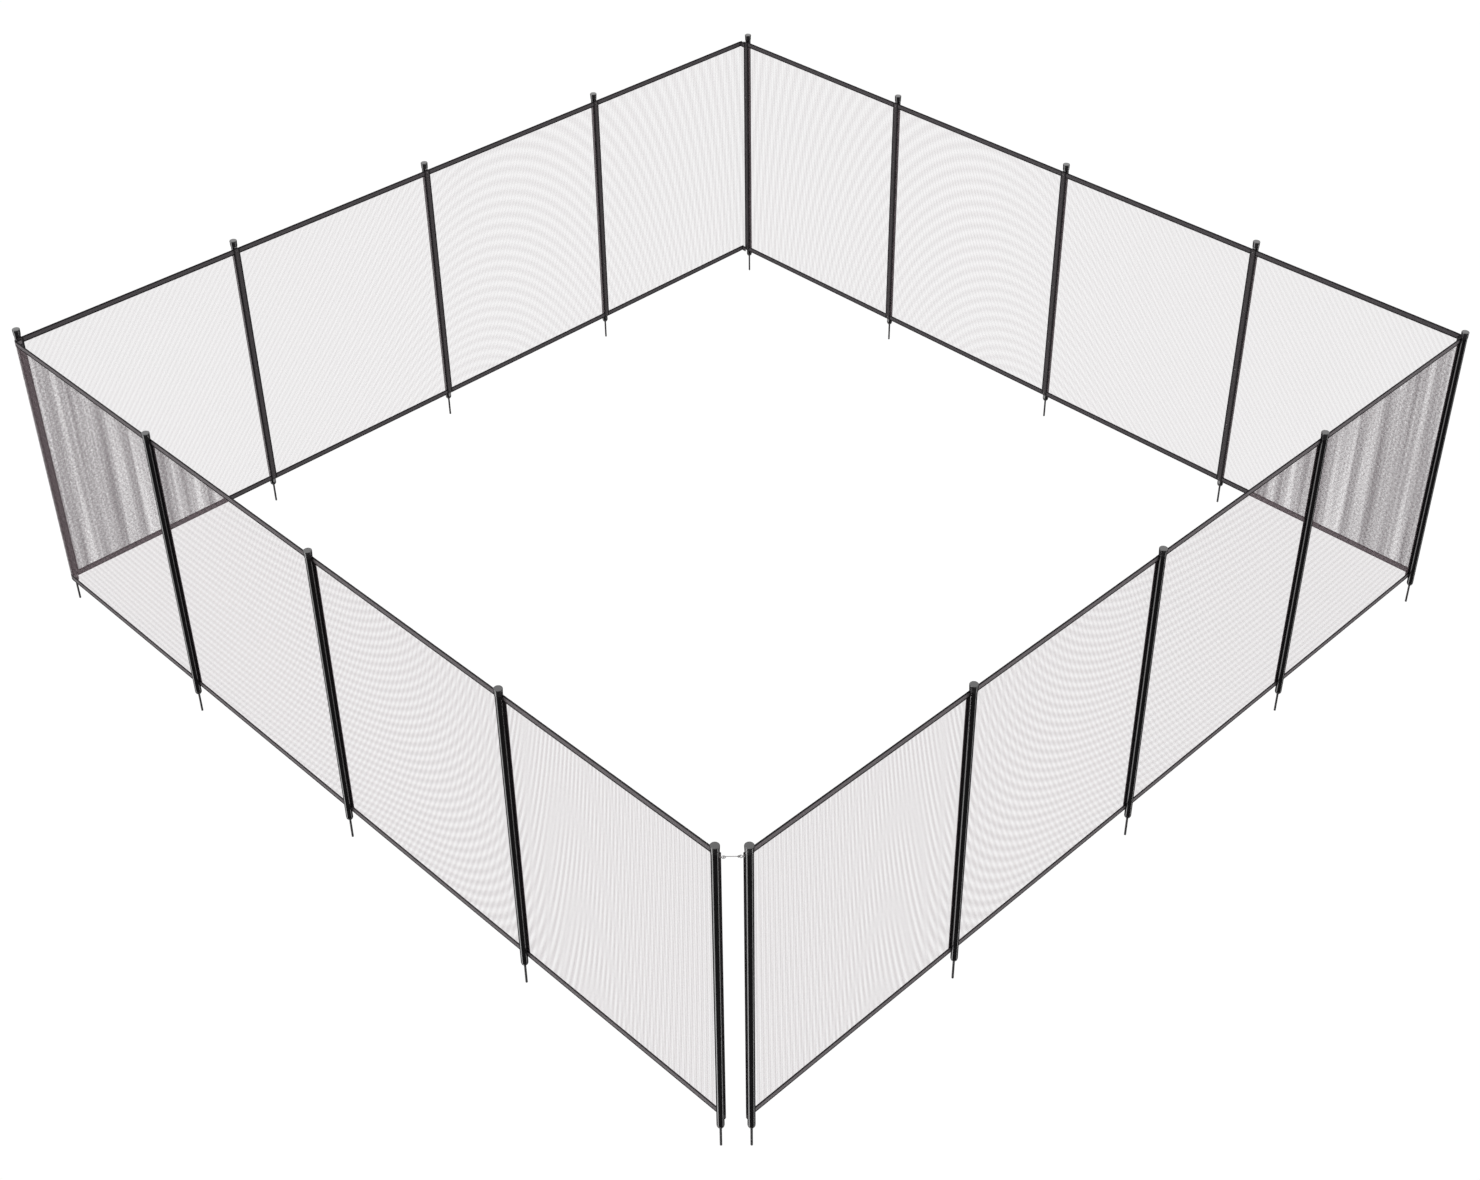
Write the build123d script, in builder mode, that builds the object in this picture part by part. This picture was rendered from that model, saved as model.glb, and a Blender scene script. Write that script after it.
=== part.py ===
"""Removable mesh pool safety fence: a square yard of sixteen bays with a latched gate corner."""

import os
from math import acos, degrees, sqrt

from build123d import *

os.makedirs("parts", exist_ok=True)

# Plan of the yard, measured between the planes of the mesh
side_length = 3920.0
bays_per_side = 4
left_gate_bay_cut = 40.0
corner_bend_radius = 7.0
gate_axis_gap = 96.0
mesh_end_margin = 8.0

# Heights above the deck, and drops below the top of the caps
fence_height = 1219.0
top_hem_drop = 33.0
latch_drop = 44.0
bottom_hem_edge_height = 32.0

# Post extrusion, a round tube with a mounting flat on its inner side
post_diameter = 25.4
post_wall = 1.6
post_flat_offset = 11.5
post_flat_wall = 2.4

# Mesh and webbing
mesh_thickness = 1.0
mesh_clearance = 0.1
tape_thickness = 0.9
hem_height = 25.0
band_width = 34.0
strip_thickness = 2.0
strip_end_inset = 2.0

# Post cap
cap_height = 26.0
cap_top_diameter = 30.0
cap_rim_diameter = 27.8
cap_roof = 3.0
cap_edge_radius = 2.5
cap_clearance = 0.15

# Foot plug and ground pin
foot_height = 14.0
foot_dome_height = 11.0
foot_face_diameter = 16.0
foot_spigot_length = 30.0
foot_clearance = 0.15
pin_diameter = 8.0
pin_depth = 90.0
pin_tip_chamfer = 1.5
tang_diameter = 7.0
tang_length = 38.0
tang_clearance = 0.05

# Hook and eye latch across the gate
eye_wire_diameter = 2.6
eye_ring_radius = 5.0
eye_reach = 24.0
eye_shank_inside = 4.0
eye_hole_clearance = 0.1
hook_wire_diameter = 2.5
hook_loop_radius = 3.2
hook_tip_length = 9.0
hook_bend_radius = 4.0
hook_tip_chamfer = 0.8
hook_rest_clearance = 0.2

# Sizes that follow from the ones above
post_radius = post_diameter / 2
post_bore_radius = post_radius - post_wall
post_bore_flat = post_flat_offset - post_flat_wall
mesh_slot = mesh_thickness + 2 * mesh_clearance
hem_thickness = mesh_slot + 2 * tape_thickness
post_offset = post_flat_offset + hem_thickness / 2
corner_post_setback = band_width / 2 + corner_bend_radius
gate_post_setback = gate_axis_gap / sqrt(2) - post_offset
last_post_run = side_length + corner_post_setback
top_hem_edge_height = fence_height - top_hem_drop
latch_height = fence_height - latch_drop
top_hem_low_height = top_hem_edge_height - hem_height
bottom_hem_high_height = bottom_hem_edge_height + hem_height
mesh_low_height = bottom_hem_edge_height + tape_thickness
mesh_high_height = top_hem_edge_height - tape_thickness
tube_top_height = fence_height - cap_roof
foot_face_radius = foot_face_diameter / 2
foot_hole_radius = tang_diameter / 2 + tang_clearance
foot_mouth_chamfer = (pin_diameter - tang_diameter) / 2
foot_face_middle = (foot_face_radius + pin_diameter / 2) / 2
eye_wire_radius = eye_wire_diameter / 2
hook_wire_radius = hook_wire_diameter / 2
catch_eye_height = latch_height - hook_wire_radius - hook_rest_clearance - eye_wire_radius
hook_reach = gate_axis_gap - 2 * eye_reach - eye_ring_radius

# The origin is on the flat ring under the left gate post's foot, on its inner side
front_corner = Vector(post_offset - foot_face_middle, -gate_post_setback, 0)
left_corner = front_corner + Vector(0, side_length, 0)
far_corner = left_corner + Vector(side_length, 0, 0)
right_corner = front_corner + Vector(side_length, 0, 0)


class Side:
    """One straight run of the fence, with the distances along it at which its posts stand."""

    def __init__(self, name, start, along, first_run, last_run, first_bay_cut=0.0):
        self.name = name
        self.start = start
        self.along = along
        self.outward = Vector(-along.Y, along.X, 0)
        pitch = (last_run - first_run + first_bay_cut) / bays_per_side
        later_runs = [last_run - pitch * count for count in range(bays_per_side)]
        self.runs = [first_run] + later_runs[::-1]

    def point(self, run, out=0.0):
        """Return the plan point at a distance along the side and outward from the mesh."""
        return self.start + self.along * run + self.outward * out

    def plane(self, run, out, height):
        """Return a level plane there, with X along the side and Y outward."""
        centre = self.point(run, out)
        return Plane(origin=(centre.X, centre.Y, height), x_dir=self.along, z_dir=(0, 0, 1))


left_front = Side(
    "left_front",
    front_corner,
    Vector(0, 1, 0),
    gate_post_setback,
    last_post_run,
    left_gate_bay_cut,
)
left_back = Side("left_back", left_corner, Vector(1, 0, 0), corner_post_setback, last_post_run)
right_back = Side("right_back", far_corner, Vector(0, -1, 0), corner_post_setback, last_post_run)
last_gate_run = side_length - gate_post_setback
right_front = Side(
    "right_front", right_corner, Vector(-1, 0, 0), corner_post_setback, last_gate_run
)
sides = [left_front, left_back, right_back, right_front]
first_post_names = ["left_gate_post", "left_corner_post", "far_corner_post", "right_corner_post"]

# Every post's side and its distance along it, in order round the yard
posts = []
for side in sides:
    posts += [(side, run) for run in side.runs[:-1]]
posts.append((right_front, right_front.runs[-1]))
feet = [side.plane(run, post_offset, 0) for side, run in posts]

# Gate and corner posts are named one by one, and the three between them by their side
post_groups = {}
for index, side in enumerate(sides):
    side_feet = feet[index * bays_per_side : (index + 1) * bays_per_side]
    post_groups[first_post_names[index]] = side_feet[:1]
    post_groups[f"{side.name}_posts"] = side_feet[1:]
post_groups["right_gate_post"] = feet[-1:]

# The latch lies on the line between the two gate posts' axes
left_gate_axis = left_front.point(left_front.runs[0], post_offset)
right_gate_axis = right_front.point(right_front.runs[-1], post_offset)
gate_direction = (right_gate_axis - left_gate_axis).normalized()
upward = Vector(0, 0, 1)


def write_piece(piece, name):
    """Label a finished piece and write it to its own file."""
    piece.part.label = name
    export_step(piece.part, f"parts/{name}.step")


def flatted_round(radius, flat):
    """Return a circle cut straight at a distance from its centre, on the side of the mesh."""
    half_angle = degrees(acos(flat / radius))
    with BuildSketch() as profile:
        with BuildLine():
            arc = CenterArc((0, 0), radius, -90 + half_angle, 360 - 2 * half_angle)
            Line(arc @ 1, arc @ 0)
        make_face()
    return profile.sketch


def ribbon(side, first, last, width):
    """Return a band of a given thickness in plan, centred on the mesh's line and round its bend."""
    with BuildSketch() as band:
        with BuildLine():
            if last > side_length:
                next_side = sides[sides.index(side) + 1]
                bend_end = next_side.point(last - side_length)
                bent = [side.point(first), next_side.start, bend_end]
                FilletPolyline(*bent, radius=corner_bend_radius)
            else:
                Line(side.point(first), side.point(last))
        trace(line_width=width)
    return band.sketch


def stretch(side, first, last):
    """Lengthen a run between two posts to the mesh's free ends beside the gate."""
    if side is left_front and first == side.runs[0]:
        first = first - mesh_end_margin
    if side is right_front and last == side.runs[-1]:
        last = last + mesh_end_margin
    return first, last


# Posts: hollow extrusions with a thick mounting flat, drilled at the gate for the latch's eyes
eye_seats = {
    "left_gate_post": (left_gate_axis, gate_direction, catch_eye_height),
    "right_gate_post": (right_gate_axis, -gate_direction, latch_height),
}
for name, post_feet in post_groups.items():
    with BuildPart() as post:
        for post_foot in post_feet:
            with BuildSketch(post_foot.offset(foot_height)):
                add(flatted_round(post_radius, post_flat_offset))
                add(flatted_round(post_bore_radius, post_bore_flat), mode=Mode.SUBTRACT)
            extrude(amount=tube_top_height - foot_height)
        if name in eye_seats:
            axis_point, gap_direction, eye_height = eye_seats[name]
            with BuildSketch(Plane(axis_point + upward * eye_height, z_dir=gap_direction)):
                Circle(eye_wire_radius + eye_hole_clearance)
            extrude(amount=post_diameter, mode=Mode.SUBTRACT)
    write_piece(post, name)

# Mesh: one flat panel a bay, the last of a side turning its corner to reach the corner post
for side in sides:
    for count in range(bays_per_side):
        first, last = stretch(side, side.runs[count], side.runs[count + 1])
        with BuildPart() as mesh:
            with BuildSketch(Plane.XY.offset(mesh_low_height)):
                add(ribbon(side, first, last, mesh_thickness))
            extrude(amount=mesh_high_height - mesh_low_height)
        write_piece(mesh, f"{side.name}_mesh_{count + 1}")

# Hems: webbing folded over the mesh's edges, slotted on the side where the mesh goes in
hems = [
    ("top_hem", top_hem_low_height, top_hem_low_height),
    ("bottom_hem", bottom_hem_edge_height, mesh_low_height),
]
for side in sides:
    first, last = stretch(side, side.runs[0], side.runs[-1])
    for hem_name, low_height, slot_height in hems:
        with BuildPart() as hem:
            with BuildSketch(Plane.XY.offset(low_height)):
                add(ribbon(side, first, last, hem_thickness))
            extrude(amount=hem_height)
            with BuildSketch(Plane.XY.offset(slot_height)):
                add(ribbon(side, first, last, mesh_slot))
            extrude(amount=hem_height - tape_thickness, mode=Mode.SUBTRACT)
        write_piece(hem, f"{side.name}_{hem_name}")

# Bands of webbing lie on the mesh's outer face behind each post, flush with the hems
with BuildPart() as outer_bands:
    for side, run in posts:
        first, last = stretch(side, run, run)
        begin = first if first < run else run - band_width / 2
        end = last if last > run else run + band_width / 2
        middle = (begin + end) / 2
        with BuildSketch(side.plane(middle, hem_thickness / 2, bottom_hem_high_height)):
            Rectangle(end - begin, tape_thickness, align=(Align.CENTER, Align.MAX))
        extrude(amount=top_hem_low_height - bottom_hem_high_height)
write_piece(outer_bands, "outer_bands")

# Strips of stiff webbing lie over the hems on the inner face, where the screws go through
with BuildPart() as inner_strips:
    for side, run in posts:
        first, last = stretch(side, run, run)
        begin = first if first < run else run - band_width / 2
        end = last if last > run else run + band_width / 2
        middle = (begin + end) / 2
        strip_low_height = bottom_hem_edge_height + strip_end_inset
        with BuildSketch(side.plane(middle, -hem_thickness / 2, strip_low_height)):
            Rectangle(end - begin, strip_thickness, align=(Align.CENTER, Align.MAX))
        extrude(amount=top_hem_edge_height - strip_end_inset - strip_low_height)
write_piece(inner_strips, "inner_strips")

# Cap: a flared cup pushed over the top of the tube
cap_rim_height = fence_height - cap_height
cap_bore_radius = post_radius + cap_clearance
with BuildPart() as cap:
    with BuildSketch(Plane.XZ) as cap_section:
        with BuildLine():
            Polyline(
                (0, tube_top_height),
                (cap_bore_radius, tube_top_height),
                (cap_bore_radius, cap_rim_height),
                (cap_rim_diameter / 2, cap_rim_height),
                (cap_top_diameter / 2, fence_height),
                (0, fence_height),
                close=True,
            )
        make_face()
        fillet(cap_section.vertices().group_by(Axis.Y)[-1].sort_by(Axis.X)[-1], cap_edge_radius)
    revolve(axis=Axis.Z)

with BuildPart() as post_caps:
    with Locations(*feet):
        add(cap.part)
write_piece(post_caps, "post_caps")

# Foot: a rounded plug whose spigot fills the foot of the tube and whose bore holds the pin
with BuildPart() as foot:
    with BuildSketch(Plane.XZ):
        with BuildLine():
            dome_top = (post_radius, foot_dome_height)
            TangentArc(dome_top, (foot_face_radius, 0), tangent=(0, -1))
            Polyline((foot_face_radius, 0), (0, 0), (0, foot_height), (post_radius, foot_height), dome_top)
        make_face()
    revolve(axis=Axis.Z)
    with BuildSketch(Plane.XY.offset(foot_height)):
        add(flatted_round(post_bore_radius - foot_clearance, post_bore_flat - foot_clearance))
    extrude(amount=foot_spigot_length)
    with BuildSketch(Plane.XY):
        Circle(foot_hole_radius)
    extrude(amount=tang_length, mode=Mode.SUBTRACT)
    foot_mouth = foot.edges().group_by(Axis.Z)[0].sort_by(SortBy.RADIUS)[0]
    chamfer(foot_mouth, foot_mouth_chamfer)

with BuildPart() as foot_plugs:
    with Locations(*feet):
        add(foot.part)
write_piece(foot_plugs, "foot_plugs")

# Pin: a steel rod that drops into a sleeve in the deck, turned down to a tang inside the foot
with BuildPart() as pin:
    with BuildSketch(Plane.XY.offset(-pin_depth)):
        Circle(pin_diameter / 2)
    extrude(amount=pin_depth)
    chamfer(pin.edges().sort_by(Axis.Z)[0], pin_tip_chamfer)
    with BuildSketch(Plane.XY):
        Circle(tang_diameter / 2)
    extrude(amount=tang_length)

with BuildPart() as ground_pins:
    with Locations(*feet):
        add(pin.part)
write_piece(ground_pins, "ground_pins")

# Screw eye: a level ring of wire on a shank that runs back into the post
with BuildPart() as eye:
    with BuildSketch(Plane.XZ):
        with Locations((eye_ring_radius, 0)):
            Circle(eye_wire_radius)
    revolve(axis=Axis.Z)
    with BuildSketch(Plane.YZ.offset(-eye_ring_radius)):
        Circle(eye_wire_radius)
    extrude(amount=-(eye_reach - eye_ring_radius - post_radius + eye_shank_inside))

for name, (axis_point, gap_direction, eye_height) in eye_seats.items():
    ring_centre = axis_point + gap_direction * eye_reach + upward * eye_height
    with BuildPart() as seated_eye:
        with Locations(Plane(ring_centre, x_dir=gap_direction, z_dir=upward)):
            add(eye.part)
    write_piece(seated_eye, name.replace("gate_post", "latch_eye"))

# Hook: a wire loop linked through the right eye, and a rod turned down into the left eye
hook_pivot = right_gate_axis - gate_direction * (eye_reach + eye_ring_radius)
hook_pivot = hook_pivot + upward * latch_height
with BuildPart() as hook:
    with BuildSketch(Plane.XY):
        with Locations((hook_loop_radius, 0)):
            Circle(hook_wire_radius)
    revolve(axis=Axis.Y)
    with BuildLine(Plane.XZ) as rod_line:
        rod_turn = (hook_reach, 0)
        rod_end = (hook_reach, -hook_tip_length)
        FilletPolyline((hook_loop_radius, 0), rod_turn, rod_end, radius=hook_bend_radius)
    with BuildSketch(Plane.YZ.offset(hook_loop_radius)):
        Circle(hook_wire_radius)
    sweep(path=rod_line.wires()[0])
    chamfer(hook.edges().sort_by(Axis.Z)[0], hook_tip_chamfer)

with BuildPart() as latch_hook:
    with Locations(Plane(hook_pivot, x_dir=-gate_direction, z_dir=upward)):
        add(hook.part)
write_piece(latch_hook, "latch_hook")
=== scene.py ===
"""Looks of the removable mesh pool safety fence: woven mesh, webbing, gloss posts, latch."""

from math import pi, radians

import bmesh
import bpy
from bpy.props import FloatProperty, FloatVectorProperty, IntProperty, PointerProperty
from mathutils import Euler, Matrix, Vector


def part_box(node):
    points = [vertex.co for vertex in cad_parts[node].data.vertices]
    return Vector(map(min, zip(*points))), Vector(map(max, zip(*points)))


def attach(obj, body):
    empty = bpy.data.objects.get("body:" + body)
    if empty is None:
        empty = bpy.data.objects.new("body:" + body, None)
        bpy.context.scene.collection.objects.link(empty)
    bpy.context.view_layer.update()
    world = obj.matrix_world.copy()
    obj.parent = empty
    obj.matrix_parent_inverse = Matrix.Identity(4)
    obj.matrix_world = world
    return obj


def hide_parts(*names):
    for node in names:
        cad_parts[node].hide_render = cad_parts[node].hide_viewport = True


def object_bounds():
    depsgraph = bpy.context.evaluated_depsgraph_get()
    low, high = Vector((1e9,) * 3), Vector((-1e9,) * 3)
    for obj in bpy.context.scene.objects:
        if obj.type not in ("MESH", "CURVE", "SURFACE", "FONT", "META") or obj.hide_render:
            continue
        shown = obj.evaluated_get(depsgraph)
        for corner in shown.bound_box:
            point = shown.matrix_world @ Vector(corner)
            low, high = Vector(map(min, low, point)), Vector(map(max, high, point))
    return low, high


bl_info = {
    "name": "Mesh Pool Fence",
    "version": (1, 0, 0),
    "blender": (4, 5, 0),
    "location": "3D View > Sidebar > Fence",
    "description": "Dresses the frame of a removable mesh pool fence",
    "category": "Object",
}

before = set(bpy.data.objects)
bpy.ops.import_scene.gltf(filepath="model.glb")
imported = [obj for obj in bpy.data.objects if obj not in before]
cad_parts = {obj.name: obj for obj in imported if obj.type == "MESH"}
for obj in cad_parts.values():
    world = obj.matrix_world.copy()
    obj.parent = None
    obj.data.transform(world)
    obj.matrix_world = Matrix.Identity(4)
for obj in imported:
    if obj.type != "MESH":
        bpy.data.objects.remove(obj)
frame_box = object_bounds()

UP = Vector((0, 0, 1))

# Each side of the yard: its name, the way it runs, and whether it ends by turning a corner
SIDES = (
    ("left_front", Vector((0, 1, 0)), True),
    ("left_back", Vector((1, 0, 0)), True),
    ("right_back", Vector((0, -1, 0)), True),
    ("right_front", Vector((-1, 0, 0)), False),
)
BAYS = 4
MESH_HALF = 0.0005  # half the thickness of the solids' mesh
PANEL_STEPS = 24  # columns of faces along a panel's straight run
PANEL_ROWS = 24
BEND_STEPS = 6
SHARP_EDGE = 40.0  # edges that turn by more degrees are shaded sharp
SLACK = 1e-5  # how near two places count as one
POST_NODES = (
    "left_gate_post", "left_front_posts", "left_corner_post", "left_back_posts", "far_corner_post",
    "right_back_posts", "right_corner_post", "right_front_posts", "right_gate_post",
)


def length(name, default, description):
    """Return a property that holds a length in metres."""
    return FloatProperty(
        name=name, description=description, default=default, min=0.0, unit="LENGTH",
        subtype="DISTANCE", precision=4,
    )


def share(name, default, description):
    """Return a property that holds a share from nought to one."""
    return FloatProperty(
        name=name, description=description, default=default, min=0.0, max=1.0, subtype="FACTOR"
    )


def colour(name, default, description):
    """Return a property that holds a colour."""
    return FloatVectorProperty(
        name=name, description=description, default=default, size=3, min=0.0, max=1.0,
        subtype="COLOR",
    )


class FenceMeshSettings(bpy.types.PropertyGroup):
    """Sizes and colours of the woven mesh."""

    thickness: length("Thickness", 0.0006, "Thickness of the woven mesh")
    thread_pitch: length("Thread pitch", 0.0016, "Distance from one thread to the next")
    corner_radius: length("Corner radius", 0.007, "Radius of the mesh's turn at a corner")
    bow: length("Bow", 0.0015, "How far a panel bows between its posts")
    thread_colour: colour("Thread colour", (0.284, 0.217, 0.236), "Colour of the coated threads")
    # Shaded colour: a painted shade for threads seen behind another panel
    shaded_colour: colour("Shaded colour", (0.075, 0.070, 0.078), "Colour behind another panel")
    front_cover: share("Front cover", 0.162, "Share that one face of the front sides' mesh hides")
    back_cover: share("Back cover", 0.118, "Share that one face of the back sides' mesh hides")
    overlap_cover: share("Overlap cover", 0.305, "Share that a face hides behind another panel")
    shimmer: share("Shimmer", 0.36, "Strength of the watered lines that the weave shows")


class FenceWebbingSettings(bpy.types.PropertyGroup):
    """Sizes and colours of the hems, bands and strips."""

    rib_pitch: length("Rib pitch", 0.0045, "Distance from one twill rib to the next")
    groove: length("Groove", 0.0003, "Depth of the sewn lines")
    stitch_pitch: length("Stitch pitch", 0.006, "Length of one stitch with its gap")
    edge_radius: length("Edge radius", 0.0007, "Rounding of the folded edges")
    strap_width: length("Strap width", 0.028, "Width of the straps over the posts")
    front_colour: colour("Front colour", (0.165, 0.148, 0.155), "Colour of the front hems' face")
    # The back hems' colour is a darker copy of the front hems' webbing: a painted shade
    back_painted_shade_colour: colour("Back colour", (0.080, 0.072, 0.077), "Colour of the back hems' face")
    strip_colour: colour("Strip colour", (0.062, 0.055, 0.058), "Colour of the strips' face")
    edge_colour: colour("Edge colour", (0.006, 0.005, 0.006), "Colour of the webbing's edges")


class FenceHardwareSettings(bpy.types.PropertyGroup):
    """Sizes and colours of the posts, screws, pins and latch."""

    post_colour: colour("Post colour", (0.0032, 0.0028, 0.0032), "Colour of the gloss coat")
    cap_colour: colour("Cap colour", (0.008, 0.0075, 0.008), "Colour of the moulded caps")
    pin_colour: colour("Pin colour", (0.012, 0.011, 0.012), "Colour of the coated pins")
    steel_colour: colour("Steel colour", (0.36, 0.35, 0.35), "Colour of the steel wire")
    screw_colour: colour("Screw colour", (0.10, 0.095, 0.097), "Colour of the blackened screws")
    screw_diameter: length("Screw head", 0.008, "Diameter of the screw heads")
    screw_height: length("Screw height", 0.0024, "Height of the screw heads")
    screws_per_strip: IntProperty(
        name="Screws per strip", description="How many screws hold one strip", default=5, min=2
    )


class FenceStageSettings(bpy.types.PropertyGroup):
    """The floor, the light and the camera."""

    floor_colour: colour("Floor colour", (1.0, 1.0, 1.0), "Colour of the pale floor")
    floor_size: length("Floor size", 80.0, "Length of the floor's edge")
    light_strength: FloatProperty(
        name="Light strength", description="Brightness of the surrounding light", default=1.0, min=0
    )
    camera_place: FloatVectorProperty(
        name="Camera place", description="Where the camera stands", subtype="TRANSLATION",
        default=(-2.9113, -3.0914, 5.4518),
    )
    camera_tilt: FloatProperty(
        name="Camera tilt", description="How far the camera looks down", subtype="ANGLE",
        default=radians(35.795),
    )
    camera_heading: FloatProperty(
        name="Camera heading", description="The camera's turn from the Y axis towards X",
        subtype="ANGLE", default=radians(44.988),
    )
    camera_roll: FloatProperty(
        name="Camera roll", description="The camera's turn about its own axis", subtype="ANGLE",
        default=radians(-0.179),
    )
    camera_lens: FloatProperty(
        name="Camera lens", description="Focal length on a 36 mm sensor, in mm", default=51.93
    )
    shift_right: FloatProperty(
        name="Shift right", description="How far the frame lies off the axis", default=-0.01405
    )
    shift_up: FloatProperty(
        name="Shift up", description="How far the frame lies above the axis", default=-0.0602
    )


# Modelling helpers

def pick(obj):
    """Select one object alone and make it the active one."""
    bpy.ops.object.select_all(action="DESELECT")
    obj.select_set(True)
    bpy.context.view_layer.objects.active = obj


def apply_place(obj):
    """Put an object's place, turn and scale into its mesh."""
    pick(obj)
    bpy.ops.object.transform_apply(location=True, rotation=True, scale=True)


def apply_modifier(obj, kind, **values):
    """Give an object a modifier and apply it."""
    pick(obj)
    modifier = obj.modifiers.new(kind.title(), kind)
    for key, value in values.items():
        setattr(modifier, key, value)
    bpy.ops.object.modifier_apply(modifier=modifier.name)


def select_vertices(obj, test):
    """Select the vertices that pass a test, in edit mode."""
    edit = bmesh.from_edit_mesh(obj.data)
    for part in (edit.verts, edit.edges, edit.faces):
        for element in part:
            element.select = False
    for vertex in edit.verts:
        vertex.select = test(vertex.co)
    edit.select_flush(True)
    bmesh.update_edit_mesh(obj.data)


def join(name, parts):
    """Join objects into the first one and name it."""
    bpy.ops.object.select_all(action="DESELECT")
    for part in parts:
        part.select_set(True)
    bpy.context.view_layer.objects.active = parts[0]
    if len(parts) > 1:
        bpy.ops.object.join()
    parts[0].name = name
    parts[0].data.name = name
    return parts[0]


def smooth(obj):
    """Shade an object smooth, apart from its sharp edges."""
    pick(obj)
    bpy.ops.object.shade_smooth_by_angle(angle=radians(SHARP_EDGE))


def dress(obj, material, slot, *nodes):
    """Give a piece its material, let it ride on the fence and stand for CAD nodes; the slot is not
    used.
    """
    obj.data.materials.clear()
    obj.data.materials.append(material)
    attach(obj, "fence")
    if nodes:
        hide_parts(*nodes)


def loose_boxes(node):
    """Return the box of each separate solid in a CAD node, from a copy of it."""
    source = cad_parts[node]
    copy = bpy.data.objects.new("measured", source.data.copy())
    bpy.context.scene.collection.objects.link(copy)
    pick(copy)
    bpy.ops.object.mode_set(mode="EDIT")
    bpy.ops.mesh.select_all(action="SELECT")
    bpy.ops.mesh.remove_doubles(threshold=1e-6)
    bpy.ops.mesh.separate(type="LOOSE")
    bpy.ops.object.mode_set(mode="OBJECT")
    boxes = []
    for part in list(bpy.context.selected_objects):
        corners = [vertex.co for vertex in part.data.vertices]
        low = Vector([min(corner[axis] for corner in corners) for axis in range(3)])
        high = Vector([max(corner[axis] for corner in corners) for axis in range(3)])
        boxes.append((low, high))
        bpy.data.objects.remove(part)
    return boxes


def inward(along):
    """Return the way into the yard from a side that runs the given way."""
    return along.cross(UP)


class Run:
    """A piece of a side: its straight run and, at a corner, the bend and leg that end it."""

    def __init__(self, box, along, bends):
        low, high = box
        self.along, self.across = along, inward(along)
        ends = sorted((low.dot(along), high.dot(along)))
        depth = sorted((low.dot(self.across), high.dot(self.across)))
        self.first, self.last = ends
        self.near, self.far = depth
        self.low_height, self.high_height = low.z, high.z
        self.bends = bends

    def point(self, run, depth, height):
        """Return the point at a distance along, a depth into the yard and a height."""
        return self.along * run + self.across * depth + UP * height


# Shader helpers

def make_group(name, inputs, outputs):
    """Return a new node group with its sockets, and its input and output nodes."""
    group = bpy.data.node_groups.new(name, "ShaderNodeTree")
    kinds = {"value": "NodeSocketFloat", "vector": "NodeSocketVector"}
    for label, kind, default in inputs:
        socket = group.interface.new_socket(name=label, in_out="INPUT", socket_type=kinds[kind])
        if default is not None:
            socket.default_value = default
    for label, kind in outputs:
        group.interface.new_socket(name=label, in_out="OUTPUT", socket_type=kinds[kind])
    return group, group.nodes.new("NodeGroupInput"), group.nodes.new("NodeGroupOutput")


def math(tree, operation, first, second=None, third=None, clamp=False):
    """Add a Math node fed by sockets or numbers, and return its output."""
    node = tree.nodes.new("ShaderNodeMath")
    node.operation = operation
    node.use_clamp = clamp
    for socket, value in zip(node.inputs, (first, second, third)):
        if value is None:
            continue
        if isinstance(value, (int, float)):
            socket.default_value = value
        else:
            tree.links.new(value, socket)
    return node.outputs[0]


def smooth_step(tree, value, low, high):
    """Add a Map Range node that rises smoothly from nought to one, and return its output."""
    node = tree.nodes.new("ShaderNodeMapRange")
    node.interpolation_type = "SMOOTHSTEP"
    node.inputs["From Min"].default_value = low
    node.inputs["From Max"].default_value = high
    tree.links.new(value, node.inputs["Value"])
    return node.outputs["Result"]


def mix_colour(tree, share_socket, first, second):
    """Add a Mix node between two colours, and return its output."""
    node = tree.nodes.new("ShaderNodeMix")
    node.data_type = "RGBA"
    tree.links.new(share_socket, node.inputs["Factor"])
    for socket, value in ((node.inputs[6], first), (node.inputs[7], second)):
        if isinstance(value, bpy.types.NodeSocket):
            tree.links.new(value, socket)
        else:
            socket.default_value = (*value, 1.0)
    return node.outputs[2]


def cycles(tree, value):
    """Turn a count of cycles into an angle."""
    return math(tree, "MULTIPLY", value, 2 * pi)


def weave_group():
    """Return the group for threads that cross: a mask of the threads and their height."""
    if "Weave" in bpy.data.node_groups:
        return bpy.data.node_groups["Weave"]
    group, entry, result = make_group(
        "Weave",
        (("Place", "vector", None), ("Pitch", "value", 0.0016)),
        (("Threads", "value"), ("Height", "value")),
    )
    parts = group.nodes.new("ShaderNodeSeparateXYZ")
    group.links.new(entry.outputs["Place"], parts.inputs[0])
    turns = []
    for axis in range(2):
        phase = math(group, "DIVIDE", parts.outputs[axis], entry.outputs["Pitch"])
        turns.append(cycles(group, phase))
    warp = math(group, "COSINE", turns[0])
    weft = math(group, "COSINE", turns[1])
    top = math(group, "MAXIMUM", warp, weft)
    thread_edge = (0.35, 0.75)
    crossing_lift = 0.3
    group.links.new(smooth_step(group, top, *thread_edge), result.inputs["Threads"])
    cross = math(group, "MULTIPLY", warp, weft)
    height = math(group, "MULTIPLY_ADD", cross, crossing_lift, top)
    group.links.new(height, result.inputs["Height"])
    return group


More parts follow.
